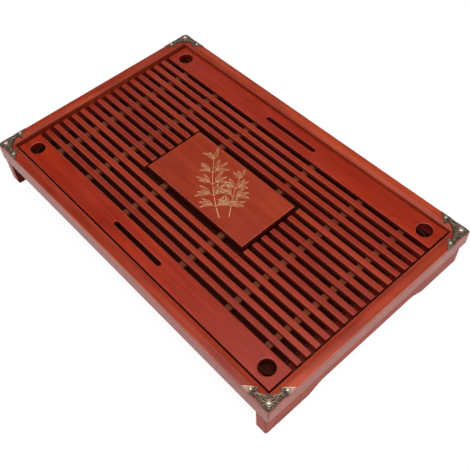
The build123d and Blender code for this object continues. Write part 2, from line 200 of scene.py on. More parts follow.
def math_node(tree, operation, first, second=0.0):
    """The result socket of a Math node."""
    return node(tree, "ShaderNodeMath", {0: first, 1: second}, operation=operation).outputs[0]


def times(tree, first, second):
    """The product of two values."""
    return math_node(tree, "MULTIPLY", first, second)


def larger(tree, first, second):
    """The larger of two values."""
    return math_node(tree, "MAXIMUM", first, second)


def blend_value(tree, factor, first, second):
    """The result socket of a Mix node between two values."""
    return node(tree, "ShaderNodeMix", {"Factor": factor, 2: first, 3: second}).outputs[0]


def blend_colour(tree, factor, first, second):
    """The result socket of a Mix node between two colours."""
    ends = [value if isinstance(value, bpy.types.NodeSocket) else (*value, 1.0) for value in (first, second)]
    inputs = {"Factor": factor, 6: ends[0], 7: ends[1]}
    return node(tree, "ShaderNodeMix", inputs, data_type="RGBA").outputs[2]


def remap(tree, value, low, high, to_low=0.0, to_high=1.0):
    """The result socket of a clamped Map Range node."""
    ranged = node(
        tree, "ShaderNodeMapRange",
        {"Value": value, "From Min": low, "From Max": high, "To Min": to_low, "To Max": to_high},
    )
    return ranged.outputs["Result"]


def object_place(tree):
    """Where a shaded point lies in its object."""
    return node(tree, "ShaderNodeTexCoord").outputs["Object"]


def axes_of(tree, vector):
    """The X, Y and Z sockets of a vector."""
    return node(tree, "ShaderNodeSeparateXYZ", {0: vector}).outputs


def true_normal(tree):
    """The direction in which a shaded point's own face looks."""
    return node(tree, "ShaderNodeNewGeometry").outputs["True Normal"]


def dot(tree, first, second):
    """The dot product of two vectors."""
    return node(tree, "ShaderNodeVectorMath", {0: first, 1: second}, operation="DOT_PRODUCT").outputs["Value"]


def noise(tree, place, scale, detail, roughness=0.5, distortion=0.0):
    """The value socket of a Noise Texture node."""
    made = node(
        tree, "ShaderNodeTexNoise",
        {"Vector": place, "Scale": scale, "Detail": detail, "Roughness": roughness, "Distortion": distortion},
    )
    return made.outputs[0]


def row_chance(tree, row):
    """A value between 0 and 1 that belongs to a row's number."""
    return node(tree, "ShaderNodeTexWhiteNoise", {"W": row}, noise_dimensions="1D").outputs["Value"]


def bump(tree, height, strength, distance, normal=None):
    """The normal socket of a Bump node."""
    inputs = {"Height": height, "Strength": strength, "Distance": distance}
    if normal is not None:
        inputs["Normal"] = normal
    return node(tree, "ShaderNodeBump", inputs).outputs[0]


def new_group(name, inputs, outputs):
    """An empty shader node group with named sockets, and its input and output nodes."""
    group = bpy.data.node_groups.new(name, "ShaderNodeTree")
    for label, kind, default in inputs:
        group.interface.new_socket(label, in_out="INPUT", socket_type=kind).default_value = default
    for label, kind in outputs:
        group.interface.new_socket(label, in_out="OUTPUT", socket_type=kind)
    return group, group.nodes.new("NodeGroupInput"), group.nodes.new("NodeGroupOutput")


def use_group(tree, name, inputs):
    """Places the named node group in a material and returns its outputs."""
    return node(tree, "ShaderNodeGroup", inputs, node_tree=bpy.data.node_groups[name]).outputs


# Name, shares of the grain's length and width, offset, detail, roughness, distortion and range of each noise
GRAIN_NOISES = (
    ("Streaks", 1.0, 1.0, 0.0, 4.0, 0.62, 0.4, 0.3, 0.7),
    ("Fibres", 0.35, 0.16, 7.3, 3.0, 0.7, 0.0, 0.3, 0.7),
    ("Figure", 0.9, 7.0, 13.1, 2.0, 0.5, 0.3, 0.32, 0.68),
    ("Bands", 2.2, 2.4, 21.7, 2.0, 0.5, 0.0, 0.34, 0.66),
)


def build_wood_grain():
    """Streaks, fibres and broad figure that run along X or Y."""
    tree, ends, out = new_group(
        "Wood Grain",
        [("Run", FLOAT, 0.0), ("Length", FLOAT, 0.07), ("Width", FLOAT, 0.003), ("Seed", FLOAT, 0.0)],
        [("Streaks", FLOAT), ("Fibres", FLOAT), ("Figure", FLOAT), ("Bands", FLOAT)],
    )
    run, length, width, seed = (ends.outputs[label] for label in ("Run", "Length", "Width", "Seed"))
    axes = axes_of(tree, object_place(tree))
    along = blend_value(tree, run, axes[0], axes[1])
    across = blend_value(tree, run, axes[1], axes[0])
    for label, long_share, wide_share, offset, detail, roughness, distortion, low, high in GRAIN_NOISES:
        far = math_node(tree, "DIVIDE", along, times(tree, length, long_share))
        side = math_node(tree, "DIVIDE", across, times(tree, width, wide_share))
        deep = math_node(tree, "DIVIDE", axes[2], times(tree, width, wide_share))
        shifted = math_node(tree, "ADD", far, math_node(tree, "ADD", seed, offset))
        stretched = node(tree, "ShaderNodeCombineXYZ", {0: shifted, 1: side, 2: deep}).outputs[0]
        value = noise(tree, stretched, 1.0, detail, roughness, distortion)
        feed(tree, out, {label: remap(tree, value, low, high)})


def build_edge_wear():
    """A mask of the outer edges and the softened normal that goes with it."""
    tree, ends, out = new_group(
        "Edge Wear",
        [("Radius", FLOAT, 0.0007), ("Breakup", FLOAT, 0.5)],
        [("Mask", FLOAT), ("Normal", VECTOR)],
    )
    rounded = node(tree, "ShaderNodeBevel", {"Radius": ends.outputs["Radius"]}, samples=4).outputs[0]
    bent = remap(tree, dot(tree, rounded, true_normal(tree)), 0.995, 0.80)
    uneven = remap(tree, noise(tree, object_place(tree), 160.0, 3.0, 0.6), 0.35, 0.6)
    kept = blend_value(tree, ends.outputs["Breakup"], 1.0, uneven)
    feed(tree, out, {"Mask": times(tree, bent, kept), "Normal": rounded})


def build_handling():
    """Soft smudges and fine dust that vary a finish's roughness."""
    tree, ends, out = new_group(
        "Handling",
        [("Scale", FLOAT, 18.0), ("Low", FLOAT, 0.25), ("High", FLOAT, 0.4)],
        [("Roughness", FLOAT), ("Dust", FLOAT)],
    )
    place = object_place(tree)
    smudges = remap(tree, noise(tree, place, ends.outputs["Scale"], 5.0, 0.6), 0.3, 0.7)
    spread = blend_value(tree, smudges, ends.outputs["Low"], ends.outputs["High"])
    dust = remap(tree, noise(tree, place, 900.0, 2.0), 0.6, 0.75)
    feed(tree, out, {"Roughness": spread, "Dust": dust})


# Finishes

ALONG_X, ALONG_Y = 0.0, 1.0
MATTE = 0.05

# Heights between which the painted shade lines at a foot rail's sole and under the frame fade
SOLE_SHADE_HEIGHTS = (0.6 * MM, 2.2 * MM)
UNDER_FRAME_SHADE_HEIGHTS = (29.5 * MM, 31.2 * MM)

# How far up a face looks, from 0 to 1, where painted shade on upright faces ends, and where the painted
# highlight on the frame's rounding starts and ends
SIDES_END = (0.05, 0.35)
ROUNDING_START = (0.3, 0.6)
ROUNDING_END = (0.985, 0.93)

# How squarely a face looks inward, from 0 to 1, where painted shade on it starts
INNER_START = (0.6, 0.9)

# Rows of slats are counted from this many below the middle, so that a slat lies well inside its row
ROWS_BELOW_MIDDLE = 40.5


def new_finish(name):
    """A new material with its node tree and its Principled shader."""
    made = bpy.data.materials.new(name)
    made.use_nodes = True
    tree = made.node_tree
    return made, tree, tree.nodes["Principled BSDF"]


def scaled(colour, share, lift=0.0):
    """A colour with each channel times a share, plus a lift, and none over 1."""
    return tuple(min(1.0, channel * share + lift) for channel in colour)


def tones_of(part):
    """The colour, shade and glow of one part of the wood."""
    wood = bpy.context.scene.tray_wood
    return tuple(tuple(getattr(wood, part + kind)) for kind in ("_colour", "_shade", "_glow"))


def grain_of(tree, run, seed, width_share=1.0):
    """The outputs of the grain of a wood that runs along X (run 0) or Y (run 1)."""
    wood = bpy.context.scene.tray_wood
    width = wood.grain_width * width_share
    inputs = {"Run": run, "Length": wood.grain_length, "Width": width, "Seed": seed}
    return use_group(tree, "Wood Grain", inputs)


def grained_colour(tree, grain, tones, contrast):
    """The colour, shade and glow of a wood, laid in its streaks, figure, bands and fibres."""
    colour, shade, glow = tones
    crisp = 0.5 - 0.24 * contrast
    half = 0.5 * contrast
    streaks = remap(tree, grain["Streaks"], crisp, 1.0 - crisp, 0.5 - half, 0.5 + half)
    result = blend_colour(tree, streaks, colour, shade)
    result = blend_colour(tree, times(tree, grain["Figure"], 0.62), result, glow)
    bands = remap(tree, grain["Bands"], crisp, 1.0 - crisp)
    result = blend_colour(tree, times(tree, bands, 0.2 + 0.3 * contrast), result, shade)
    return blend_colour(tree, times(tree, grain["Fibres"], 0.16 + 0.34 * contrast), result, glow)


def tinted_rows(tree, result, tones, pitch):
    """A colour with a share of glow and shade that differs from one row of slats to the next."""
    _, shade, glow = tones
    across = axes_of(tree, object_place(tree))[1]
    raised = math_node(tree, "ADD", across, pitch * ROWS_BELOW_MIDDLE)
    row = math_node(tree, "FLOOR", math_node(tree, "DIVIDE", raised, pitch))
    result = blend_colour(tree, remap(tree, row_chance(tree, row), 0.0, 1.0, 0.0, 0.42), result, glow)
    dark = row_chance(tree, math_node(tree, "ADD", row, 0.5))
    return blend_colour(tree, remap(tree, dark, 0.4, 1.0, 0.0, 0.4), result, shade)


def lacquered_wood(
    name, tones, run, seed, contrast=0.5, gloss=0.4, row_pitch=0.0,
    painted_side_shade=0.0, rim=0.4, rounded=None, inner=None, sole_and_frame_shade=0.0,
):
    """Red lacquer in its colour, shade and glow, over wood whose grain runs along X (run 0) or Y (run 1).

    gloss is the specular level, and row_pitch the distance between rows that each have a tint of their own.
    painted_side_shade is painted shade on upright faces, and rim is the share of the colour rounded on
    rounded edges, a painted highlight, with rubbed wear on sharp edges.
    inner is a direction in x and y and a share: faces that look that way get that much painted shade.
    sole_and_frame_shade paints lines of shade along a foot rail's sole and under the frame.
    """
    wood = bpy.context.scene.tray_wood
    dark = tuple(wood.painted_shade_colour)
    made, tree, shader = new_finish(name)
    grain = grain_of(tree, run, seed)
    edge = use_group(tree, "Edge Wear", {"Radius": wood.edge_radius, "Breakup": 0.35})
    handled = use_group(tree, "Handling", {"Scale": 16.0, "Low": 0.24, "High": 0.34})
    result = grained_colour(tree, grain, tones, contrast)
    if row_pitch:
        result = tinted_rows(tree, result, tones, row_pitch)
    upward = axes_of(tree, true_normal(tree))[2]
    # Painted shade on upright faces: slat walls, the sides of the boards and plaque, and the walls of the
    # holes
    if painted_side_shade:
        result = blend_colour(tree, remap(tree, upward, *SIDES_END, painted_side_shade, 0.0), result, dark)
    # Painted shade on faces that look inward
    if inner:
        inner_x, inner_y, share = inner
        inward = dot(tree, true_normal(tree), (inner_x, inner_y, 0.0))
        result = blend_colour(tree, remap(tree, inward, *INNER_START, 0.0, share), result, dark)
    # Painted shadow lines along a foot rail's sole and under the frame
    if sole_and_frame_shade:
        height = axes_of(tree, object_place(tree))[2]
        sole_shade = remap(tree, height, *SOLE_SHADE_HEIGHTS, sole_and_frame_shade, 0.0)
        under_frame_shade = remap(tree, height, *UNDER_FRAME_SHADE_HEIGHTS, 0.0, sole_and_frame_shade * 0.8)
        result = blend_colour(tree, larger(tree, sole_shade, under_frame_shade), result, dark)
    # Painted highlight: rounded edges, found by how far up they look, take the rounded colour by rim; sharp
    # edges add rubbed wear
    rounding = times(tree, remap(tree, upward, *ROUNDING_START), remap(tree, upward, *ROUNDING_END))
    rounding_highlight = times(tree, rounding, remap(tree, grain["Figure"], 0.0, 1.0, rim * 0.6, rim))
    worn_and_highlit = larger(tree, times(tree, edge["Mask"], 0.4 * rim), rounding_highlight)
    feed(tree, shader, {
        "Base Color": blend_colour(tree, worn_and_highlit, result, rounded or tuple(wood.wear_and_highlight_colour)),
        "Roughness": handled["Roughness"],
        "Coat Weight": 0.1,
        "Coat Roughness": 0.16,
        "Specular IOR Level": gloss,
        "Normal": bump(tree, grain["Fibres"], 0.25, 0.08 * MM, edge["Normal"]),
    })
    return made


def plain_wood(name, colour, run, seed, roughness=0.55):
    """Unlacquered wood with dark pores."""
    wood = bpy.context.scene.tray_wood
    made, tree, shader = new_finish(name)
    grain = grain_of(tree, run, seed, 0.8)
    edge = use_group(tree, "Edge Wear", {"Radius": wood.edge_radius, "Breakup": 0.8})
    handled = use_group(tree, "Handling", {"Scale": 30.0, "Low": roughness, "High": roughness + 0.2})
    deep, pale = scaled(colour, 0.45), scaled(colour, 1.5)
    base = blend_colour(tree, times(tree, grain["Streaks"], 0.8), colour, deep)
    base = blend_colour(tree, times(tree, grain["Figure"], 0.5), base, pale)
    base = blend_colour(tree, times(tree, grain["Fibres"], 0.35), base, deep)
    feed(tree, shader, {
        "Base Color": blend_colour(tree, times(tree, edge["Mask"], 0.4), base, pale),
        "Roughness": handled["Roughness"],
        "Specular IOR Level": 0.15,
        "Normal": bump(tree, grain["Fibres"], 0.5, 0.1 * MM, edge["Normal"]),
    })
    return made


def aged_bronze(name):
    """Cast bronze, rubbed bright on its relief and dark in its hollows."""
    bronze = bpy.context.scene.tray_bronze
    made, tree, shader = new_finish(name)
    height = node(tree, "ShaderNodeAttribute", attribute_name="relief").outputs["Fac"]
    tip = node(tree, "ShaderNodeAttribute", attribute_name="tip").outputs["Fac"]
    place = object_place(tree)
    blotches = noise(tree, place, 420.0, 4.0, 0.65)
    pits = node(tree, "ShaderNodeTexVoronoi", {"Vector": place, "Scale": 1900.0}).outputs["Distance"]
    lifted = math_node(tree, "ADD", height, remap(tree, blotches, 0.3, 0.7, -0.18, 0.18))
    bare = larger(tree, remap(tree, lifted, 0.3, 0.95), times(tree, tip, 0.75))
    bright = blend_colour(tree, tip, tuple(bronze.bronze_colour), tuple(bronze.tip_colour))
    bloom = remap(tree, blotches, 0.35, 0.65)
    aged = blend_colour(tree, bloom, tuple(bronze.patina_colour), tuple(bronze.verdigris_colour))
    feed(tree, shader, {
        "Base Color": blend_colour(tree, bare, aged, bright),
        "Metallic": remap(tree, bare, 0.0, 1.0, 0.2, 0.75),
        "Roughness": remap(tree, bare, 0.0, 1.0, 0.6, 0.34),
        "Normal": bump(tree, pits, 0.3, 0.1 * MM),
    })
    return made


def polished_metal(name, colour, low, high, scratches):
    """Turned or plated metal with fine scratches."""
    made, tree, shader = new_finish(name)
    handled = use_group(tree, "Handling", {"Scale": 260.0, "Low": low, "High": high})
    lines = noise(tree, object_place(tree), scratches, 4.0, 0.7)
    feed(tree, shader, {
        "Base Color": blend_colour(tree, remap(tree, lines, 0.45, 0.75), colour, scaled(colour, 0.6)),
        "Roughness": handled["Roughness"],
        "Metallic": 1.0,
        "Normal": bump(tree, lines, 0.2, 0.05 * MM),
    })
    return made


def moulded(name, colour, low, high, scale):
    """Moulded plastic or rubber with a fine texture and a little dust."""
    made, tree, shader = new_finish(name)
    handled = use_group(tree, "Handling", {"Scale": 22.0, "Low": low, "High": high})
    edge = use_group(tree, "Edge Wear", {"Radius": 0.5 * MM, "Breakup": 0.7})
    skin = noise(tree, object_place(tree), scale, 3.0)
    pale = scaled(colour, 1.8, 0.02)
    dusty = blend_colour(tree, times(tree, handled["Dust"], 0.35), colour, pale)
    feed(tree, shader, {
        "Base Color": blend_colour(tree, times(tree, edge["Mask"], 0.5), dusty, pale),
        "Roughness": handled["Roughness"],
        "Specular IOR Level": 0.1,
        "Normal": bump(tree, skin, 0.25, 0.08 * MM, edge["Normal"]),
    })
    return made


def carved_fill(name):
    """Tan fill in the carved lines, thin in patches."""
    carving = bpy.context.scene.tray_carving
    made, tree, shader = new_finish(name)
    patches = noise(tree, object_place(tree), 500.0, 4.0, 0.7)
    thin = remap(tree, patches, 0.45, 0.72)
    feed(tree, shader, {
        "Base Color": blend_colour(tree, thin, tuple(carving.line_colour), tuple(carving.worn_colour)),
        "Roughness": remap(tree, patches, 0.3, 0.7, 0.45, 0.7),
        "Normal": bump(tree, patches, 0.4, 0.05 * MM),
    })
    return made


def dress(names, material):
    """Gives CAD nodes a material in every slot."""
    for name in names:
        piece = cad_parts[name]
        if not piece.material_slots:
            piece.data.materials.append(material)
        for slot in piece.material_slots:
            slot.material = material


def new_object(name, data):
    """A new object in the scene."""
    made = bpy.data.objects.new(name, data)
    bpy.context.scene.collection.objects.link(made)
    return made


def new_piece(name, mesh, material, body):
    """A new mesh object with a material, which rides on a body."""
    piece = new_object(name, mesh)
    mesh.materials.append(material)
    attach(piece, body)
    return piece


# Corner plates

LEVEL_SLACK = 1e-6
CURL_STEPS = 22


def around(points):
    """Each point of a closed loop with the next."""
    return zip(points, points[1:] + points[:1])


def top_outline(piece):
    """The loop round the highest flat face of a CAD node, as (x, y) points."""
    mesh = piece.data
    high = max(vertex.co.z for vertex in mesh.vertices)
    counts = {}
    for face in mesh.polygons:
        corners = [mesh.vertices[i].co for i in face.vertices]
        if min(corner.z for corner in corners) < high - LEVEL_SLACK:
            continue
        for here, there in around([(round(c.x, 7), round(c.y, 7)) for c in corners]):
            edge = frozenset((here, there))
            counts[edge] = counts.get(edge, 0) + 1
    ways = {}
    for edge, count in counts.items():
        if count == 1:
            here, there = tuple(edge)
            ways.setdefault(here, []).append(there)
            ways.setdefault(there, []).append(here)
    loops = []
    while ways:
        start = next(iter(ways))
        loop = [start]
        before, here = None, start
        while True:
            ahead = [p for p in ways[here] if p != before]
            if not ahead or ahead[0] == start:
                break
            before, here = here, ahead[0]
            loop.append(here)
        for key in loop:
            ways.pop(key, None)
        loops.append(loop)
    return max(loops, key=lambda loop: sum(math.dist(a, b) for a, b in around(loop)))


def spaced(loop, step):
    """The points of a closed loop, with more put in so that none is further than step from the next."""
    result = []
    for here, there in around(loop):
        count = max(1, math.ceil(math.dist(here, there) / step))
        for index in range(count):
            share = index / count
            result.append(tuple(a + (b - a) * share for a, b in zip(here, there)))
    return result


def distance_to_path(spots, path):
    """Distance from each of many points to the nearest stretch of a path."""
    best = np.full(len(spots), np.inf)
    for here, there in zip(path[:-1], path[1:]):
        a, b = np.array(here), np.array(there)
        way = b - a
        share = np.clip(((spots - a) @ way) / max(way @ way, 1e-12), 0.0, 1.0)
        best = np.minimum(best, np.linalg.norm(spots - a - share[:, None] * way, axis=1))
    return best


def spiral(middle, first, last, start, turn):
    """A curl from one radius to another, which starts at an angle and turns by another, in degrees."""
    points = []
    for index in range(CURL_STEPS + 1):
        share = index / CURL_STEPS
        angle = math.radians(start + turn * share)
        radius = first + (last - first) * share
        points.append((middle[0] + radius * math.cos(angle), middle[1] + radius * math.sin(angle)))
    return points


# Scrolls, petals and beads of half a plate: path in millimetres from the corner, half width, height share
RELIEF_STROKES = (
    ([(9.9, 5.2), (11.6, 4.3), (13.8, 4.5), (15.8, 5.4), (18.0, 6.0), (20.0, 5.9)], 0.7, 0.9),
    (spiral((20.3, 4.3), 1.6, 0.35, 100, -400), 0.48, 1.0),
    (spiral((13.4, 6.9), 1.35, 0.35, -60, 380), 0.42, 0.9),
    (spiral((9.2, 2.7), 0.95, 0.3, 60, 330), 0.38, 0.9),
    (spiral((16.6, 3.7), 0.8, 0.25, 200, 330), 0.34, 0.8),
    ([(23.5, 6.3), (23.1, 7.8), (23.6, 9.4)], 0.5, 0.8),
    (spiral((24.4, 8.0), 1.05, 0.3, -50, 360), 0.36, 0.8),
    ([(12.2, 9.6), (14.0, 8.5), (16.2, 7.2), (18.6, 6.9)], 0.5, 0.85),
    (spiral((11.2, 7.7), 0.9, 0.25, -120, 340), 0.38, 0.9),
    ([(2.2, 6.0), (2.4, 8.0)], 0.5, 0.8),
    ([(3.4, 3.0), (4.6, 3.4)], 0.5, 0.9),
    ([(5.6, 1.9), (7.4, 1.7)], 0.5, 0.8),
    ([(14.2, 2.8), (15.4, 2.9)], 0.42, 0.8),
    ([(17.8, 3.5), (18.4, 3.2)], 0.42, 0.7),
    ([(22.6, 2.3), (22.61, 2.3)], 0.55, 0.9),
    ([(12.4, 2.45), (12.41, 2.45)], 0.85, 1.25),
    ([(29.6, 2.6), (31.2, 1.9)], 0.5, 0.5),
)

# Middle, radius, half width and height share of the round beads, in millimetres from the corner
BOSS_COLLAR = ((6.8, 6.8), 3.15, 0.5, 1.0)
INNER_BEAD = ((10.1, 10.1), 0.95, 0.42, 0.9)
CORNER_KNOB = ((3.7, 3.7), 0.0, 1.05, 1.25)
TACK_COLLAR = ((26.5, 4.4), 2.25, 0.38, 0.7)

# Flat seats under the boss and a tack, and where an arm's bright tip starts and how soon it is full, likewise
BOSS_SEAT_RADIUS = 2.6
TACK_SEAT_RADIUS = 1.75
TIP_START, TIP_FADE = 24.0, 3.0

# How far a plate's field lies under its CAD top, and how far its hollows lie under the field
FIELD_DEPTH = 0.25 * MM
HOLLOW_DEPTH = 0.12 * MM

# Height shares of the rim's bead, the field's stipple and an arm's tip, and the width in which they rise
RIM_BEAD_SHARE = 0.6
STIPPLE_SHARE = 0.16
TIP_SHARE = 0.45
RISE_WIDTH = 0.18

GRID_ROW_SHARE = 0.866
HOLLOW_BELOW = 0.02
INSIDE_ONLY, MERGE_DISTANCE = 1, 1e-9
CORNER_BEND_SHARE = 0.7
CREASE_ANGLE = math.radians(48)
MOST_RUBBED_PLATE = "front_right_corner_plate"
LESS_RUBBED_SHARE = 0.35


def grid_inside(rim, step):
    """A triangular grid of points inside a closed loop and clear of it."""
    xs, ys = [p[0] for p in rim], [p[1] for p in rim]
    inside = []
    for row in range(int((max(ys) - min(ys)) / (step * GRID_ROW_SHARE)) + 1):
        for column in range(int((max(xs) - min(xs)) / step) + 1):
            stagger = 0.5 * (row % 2)
            inside.append((min(xs) + (column + stagger) * step, min(ys) + row * step * GRID_ROW_SHARE))
    grid = np.array(inside)
    gap = distance_to_path(grid, rim + rim[:1])
    within = np.zeros(len(grid), dtype=bool)
    for (x0, y0), (x1, y1) in around(rim):
        if y0 == y1:
            continue
        crosses = (y0 > grid[:, 1]) != (y1 > grid[:, 1])
        at = (x1 - x0) * (grid[:, 1] - y0) / (y1 - y0) + x0
        within ^= crosses & (grid[:, 0] < at)
    return grid[within & (gap > step * 0.55)]


def bulge(away, half):
    """The round back of a bead, 1 in its middle and 0 from half its width."""
    return np.sqrt(np.clip(1 - (away / half) ** 2, 0, 1))


def relief_heights(far, near, to_rim, tip, rim_width):
    """Height of the relief at many points, given in millimetres from the corner and from the rim."""
    height = bulge(to_rim - rim_width * 0.55, rim_width * 0.5) * RIM_BEAD_SHARE
    local = np.column_stack([far, near])
    for path, half, share in RELIEF_STROKES:
        height = np.maximum(height, bulge(distance_to_path(local, path), half) * share)
    for middle, radius, half, share in (BOSS_COLLAR, INNER_BEAD, CORNER_KNOB, TACK_COLLAR):
        away = np.hypot(far - middle[0], near - middle[1]) - radius
        height = np.maximum(height, bulge(away, half) * share)
    ripple = np.sin(far * 4.1 + np.sin(near * 3.3)) * np.sin(near * 4.7 + np.sin(far * 2.9))
    height = np.maximum(height, np.maximum(STIPPLE_SHARE * (ripple > 0.35), tip * TIP_SHARE))
    return height * np.clip(to_rim / RISE_WIDTH, 0, 1)


def plate_mesh(name, flat, high, faces, floor, relief, tip):
    """The mesh of a plate's top with a skirt round it, and its relief and tip as point values."""
    bronze = bpy.context.scene.tray_bronze
    bm = bmesh.new()
    relief_layer = bm.verts.layers.float.new("relief")
    tip_layer = bm.verts.layers.float.new("tip")
    tops = [bm.verts.new((x, y, z)) for (x, y), z in zip(flat, high)]
    for face in faces:
        bm.faces.new([tops[i] for i in face])
    border = [edge for edge in bm.edges if len(edge.link_faces) == 1]
    low = {}
    for edge in border:
        for vert in edge.verts:
            if vert not in low:
                depth = min(floor, vert.co.z - bronze.bend_drop / 2)
                low[vert] = bm.verts.new((vert.co.x, vert.co.y, depth))
    for edge in border:
        a, b = edge.verts
        bm.faces.new((a, b, low[b], low[a]))
    bm.normal_update()
    bmesh.ops.recalc_face_normals(bm, faces=bm.faces)
    for vert, value, tip_value in zip(tops, relief, tip):
        vert[relief_layer] = float(value)
        vert[tip_layer] = float(tip_value)
    mesh = bpy.data.meshes.new(name)
    bm.to_mesh(mesh)
    bm.free()
    for face in mesh.polygons:
        face.use_smooth = True
    mesh.set_sharp_from_angle(angle=CREASE_ANGLE)
    return mesh


def build_corner_plate(name, corner_x, corner_y, material):
    """A cast plate with a beaded rim, scrolls and a boss's collar, in the outline of the CAD plate."""
    bronze = bpy.context.scene.tray_bronze
    rubbed_share = 1.0 if name == MOST_RUBBED_PLATE else LESS_RUBBED_SHARE
    lo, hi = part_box(name)
    rim = spaced(top_outline(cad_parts[name]), bronze.mesh_step)
    spots = np.vstack([np.array(rim), grid_inside(rim, bronze.mesh_step)])
    flat, _, faces, *_ = delaunay_2d_cdt(
        [Vector(p) for p in spots], [], [list(range(len(rim)))], INSIDE_ONLY, MERGE_DISTANCE,
    )
    flat = np.array([tuple(p) for p in flat])
    along_x = np.abs(flat[:, 0] - corner_x)
    along_y = np.abs(flat[:, 1] - corner_y)
    far, near = np.maximum(along_x, along_y) / MM, np.minimum(along_x, along_y) / MM
    to_rim = distance_to_path(flat, rim + rim[:1]) / MM
    tip = np.clip((far - TIP_START) / TIP_FADE, 0, 1)
    height = relief_heights(far, near, to_rim, tip, bronze.rim_width / MM)
    (tack_far, tack_near), (boss_far, boss_near) = TACK_COLLAR[0], BOSS_COLLAR[0]
    seat = np.hypot(far - tack_far, near - tack_near) < TACK_SEAT_RADIUS
    seat |= np.hypot(far - boss_far, near - boss_near) < BOSS_SEAT_RADIUS
    high = hi.z - FIELD_DEPTH + height * bronze.relief_height - HOLLOW_DEPTH * (height < HOLLOW_BELOW)
    high = np.where(seat, hi.z, high)
    bend = np.clip(1 - np.minimum(along_x, along_y) / bronze.bend_width, 0, 1) ** 2
    corner_bend = np.clip(1 - np.hypot(along_x, along_y) / (2 * bronze.bend_width), 0, 1)
    high = high - (bend + corner_bend * CORNER_BEND_SHARE) * bronze.bend_drop
    relief = np.clip(height, 0, 1) * (0.65 + 0.35 * rubbed_share)
    mesh = plate_mesh(name + "_relief", flat, high, faces, lo.z, relief, tip * rubbed_share)
    made = new_piece(name + "_relief", mesh, material, "frame")
    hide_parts(name)


# Carving

STEM_STEPS = 40
STEM_TAPER = 0.5
STEM_END_SHARE, STEM_MIDDLE_SHARE = 1.25, 0.85
TWIG_WIDTHS = (0.7 * MM, 0.6 * MM)
LEAF_STEPS = 12
LEAF_FAN = (-30, 2, 32)
RIB_WIDTH = 0.35 * MM
RIB_HEIGHT_SHARE = 0.7
LINE_SINK = 0.01 * MM

# Ranges of chance: angles and bends in degrees, a twig's reach in millimetres, shares of a full leaf
TWIG_ANGLES = (38, 60)
TWIG_REACHES = (3.5, 6.5)
LEAF_TURNS = (-8, 8)
LEAF_LENGTHS = (0.62, 1.0)
LEAF_WIDTHS = (0.8, 1.05)
LEAF_BENDS = (4, 22)

# Four points that bend a stem, in millimetres from the plaque's middle, its share of full size and its joints
STEMS = (
    (((32.0, -29.0), (14.0, -19.0), (-10.0, -4.0), (-27.0, 16.0)), 1.0, (9, 17, 25, 33)),
    (((38.0, -21.0), (29.0, -10.0), (17.0, 3.0), (10.0, 18.0)), 0.8, (12, 22, 31)),
)


def ribbon(bm, path, widths, base, height):
    """A thin filled line that follows a path, highest along its middle."""
    previous = None
    for index, point in enumerate(path):
        before, after = path[max(index - 1, 0)], path[min(index + 1, len(path) - 1)]
        way = Vector((after[0] - before[0], after[1] - before[1]))
        if way.length < 1e-9:
            continue
        side = Vector((-way.y, way.x)).normalized() * widths[index] / 2
        left = bm.verts.new((point[0] + side.x, point[1] + side.y, base))
        middle = bm.verts.new((point[0], point[1], base + height))
        right = bm.verts.new((point[0] - side.x, point[1] - side.y, base))
        if previous:
            bm.faces.new((previous[0], previous[1], middle, left))
            bm.faces.new((previous[1], previous[2], right, middle))
        previous = (left, middle, right)


def stem_path(bends, middle):
    """The points of a stem that is bent by four points."""
    path = []
    for index in range(STEM_STEPS + 1):
        t = index / STEM_STEPS
        shares = ((1 - t) ** 3, 3 * (1 - t) ** 2 * t, 3 * (1 - t) * t ** 2, t ** 3)
        x, y = (sum(share * value for share, value in zip(shares, values)) for values in zip(*bends))
        path.append((middle.x + x * MM, middle.y + y * MM))
    return path


def leaf_paths(root, angle, length, width, bend):
    """The two sides and the midrib of one bamboo leaf."""
    upper, lower, rib = [], [], []
    for index in range(LEAF_STEPS + 1):
        share = index / LEAF_STEPS
        swell = math.sin(math.pi * share ** 0.72) * width / 2
        turn = angle + bend * share
        x = root[0] + math.cos(turn) * length * share
        y = root[1] + math.sin(turn) * length * share
        nx, ny = -math.sin(turn), math.cos(turn)
        upper.append((x + nx * swell, y + ny * swell))
        lower.append((x - nx * swell, y - ny * swell))
        rib.append((x, y))
    return upper, lower, rib


def carve_stem(bm, path, joints, width, base):
    """The stretches of a stem between its joints, each swollen at its ends and thinner than the last."""
    rise = bpy.context.scene.tray_carving.line_height
    cuts = (0, *joints, len(path))
    for start, end in zip(cuts[:-1], cuts[1:]):
        stretch = path[start:end]
        wide = width * (1.0 - STEM_TAPER * start / STEM_STEPS)
        widths = [wide * STEM_MIDDLE_SHARE] * len(stretch)
        widths[0] = widths[-1] = wide * STEM_END_SHARE
        ribbon(bm, stretch, widths, base, rise)


def carve_twig(bm, chance, here, along, side, scale, base):
    """A twig that leaves a stem on one side and ends in a fan of three leaves."""
    carving = bpy.context.scene.tray_carving
    rise = carving.line_height
    twig = along + math.radians(chance.uniform(*TWIG_ANGLES)) * side
    reach = chance.uniform(*TWIG_REACHES) * MM * scale
    tip = (here[0] + math.cos(twig) * reach, here[1] + math.sin(twig) * reach)
    ribbon(bm, [here, tip], TWIG_WIDTHS, base, rise)
    for fan in LEAF_FAN:
        angle = twig + math.radians(fan + chance.uniform(*LEAF_TURNS))
        length = carving.leaf_length * chance.uniform(*LEAF_LENGTHS) * scale
        width = carving.leaf_width * chance.uniform(*LEAF_WIDTHS)
        bend = math.radians(chance.uniform(*LEAF_BENDS)) * (1 if side > 0 else -1)
        upper, lower, rib = leaf_paths(tip, angle, length, width, bend)
        line = [carving.line_width] * len(upper)
        ribbon(bm, upper, line, base, rise)
        ribbon(bm, lower, line, base, rise)
        ribbon(bm, rib[1:-1], [RIB_WIDTH] * (len(rib) - 2), base, rise * RIB_HEIGHT_SHARE)


# Stage

